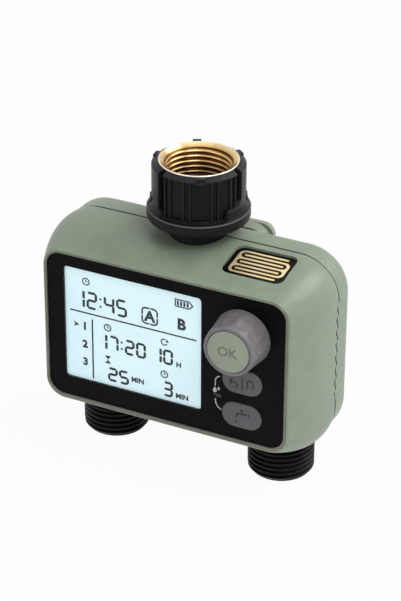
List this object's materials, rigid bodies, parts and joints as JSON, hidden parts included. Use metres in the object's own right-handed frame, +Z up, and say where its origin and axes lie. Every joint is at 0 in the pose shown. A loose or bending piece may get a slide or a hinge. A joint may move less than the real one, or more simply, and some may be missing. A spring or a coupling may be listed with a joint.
{
  "type": "drip irrigation timer",
  "caption": "Tap-mounted watering timer with a swivel threaded inlet, display panel, rotary knob, push buttons, rain sensor and threaded hose outlets.",
  "frame": {"origin": "centre of the inlet mouth, on the top plane of its brass rim", "axes": "+Z up along the inlet thread's axis, -Y out of the display panel, +X to the right seen from the front"},
  "size_m": [0.1208, 0.0637, 0.1292],
  "materials": {
    "housing": "fine satin texture",
    "bezel": "satin",
    "panel": "smooth satin",
    "lens": "clear polished",
    "lcd": "pale display face",
    "board": "solder mask",
    "steel": "brushed",
    "black_plastic": "moulded",
    "knob": "satin",
    "ok_cap": "satin",
    "button": "matt",
    "sensor_board": "smooth",
    "gold": "gold plated",
    "collar": "moulded",
    "brass": "machined",
    "seal": "matt",
    "valve": "glass-filled, matt",
    "copper": "enamelled winding",
    "cell": "printed sleeve, plain"
  },
  "bodies": {
    "timer": {"front_housing": "housing", "rear_housing": "housing", "front_bezel": "bezel", "front_panel": "panel", "display_window": "lens", "lcd_module": "lcd", "main_board": "board", "board_screws": "steel", "encoder_body": "black_plastic", "button_switches": "black_plastic", "rain_sensor_plate": "sensor_board", "rain_sensor_tracks": "gold", "collar_retainer": "steel", "inlet_o_ring": "seal", "valve_body": "valve", "outlet_left": "black_plastic", "outlet_right": "black_plastic", "solenoid_left": "copper", "solenoid_right": "copper", "plunger_spring_left": "steel", "plunger_spring_right": "steel", "housing_seal": "seal", "housing_screws": "steel", "battery_cells": "cell", "battery_contacts": "steel"},
    "inlet": {"inlet_collar": "collar", "inlet_insert": "brass", "inlet_washer": "seal", "filter_screen": "steel"},
    "knob": {"control_knob": "knob", "encoder_shaft": "steel"},
    "ok_button": {"ok_button": "ok_cap"},
    "back_lock_button": {"back_lock_button": "button"},
    "manual_button": {"manual_button": "button"},
    "battery_door": {"battery_cover": "housing", "battery_cover_seal": "seal"},
    "plunger_left": {"plunger_left": "steel", "seal_disc_left": "seal"},
    "plunger_right": {"plunger_right": "steel", "seal_disc_right": "seal"}
  },
  "joints": [
    {"name": "inlet_swivel", "type": "hinge", "parent": "timer", "child": "inlet", "pos_m": [0, 0, -0.02], "axis": [0, 0, 1], "continuous": true},
    {"name": "knob_turn", "type": "hinge", "parent": "timer", "child": "knob", "pos_m": [0.03375, -0.036, -0.055], "axis": [0, -1, 0], "continuous": true},
    {"name": "ok_press", "type": "slide", "parent": "timer", "child": "ok_button", "axis": [0, 1, 0], "range_m": [0, 0.0008], "stiffness_N_per_m": 1500, "springref_m": -0.0008},
    {"name": "back_lock_press", "type": "slide", "parent": "timer", "child": "back_lock_button", "axis": [0, 1, 0], "range_m": [0, 0.0008], "stiffness_N_per_m": 1500, "springref_m": -0.0008},
    {"name": "manual_press", "type": "slide", "parent": "timer", "child": "manual_button", "axis": [0, 1, 0], "range_m": [0, 0.0008], "stiffness_N_per_m": 1500, "springref_m": -0.0008},
    {"name": "battery_door_pull", "type": "slide", "parent": "timer", "child": "battery_door", "axis": [0, 1, 0], "range_m": [0, 0.03]},
    {"name": "plunger_left_lift", "type": "slide", "parent": "timer", "child": "plunger_left", "axis": [0, 0, 1], "range_m": [0, 0.002], "stiffness_N_per_m": 150, "springref_m": -0.004, "deforming": ["plunger_spring_left"]},
    {"name": "plunger_right_lift", "type": "slide", "parent": "timer", "child": "plunger_right", "axis": [0, 0, 1], "range_m": [0, 0.002], "stiffness_N_per_m": 150, "springref_m": -0.004, "deforming": ["plunger_spring_right"]}
  ]
}
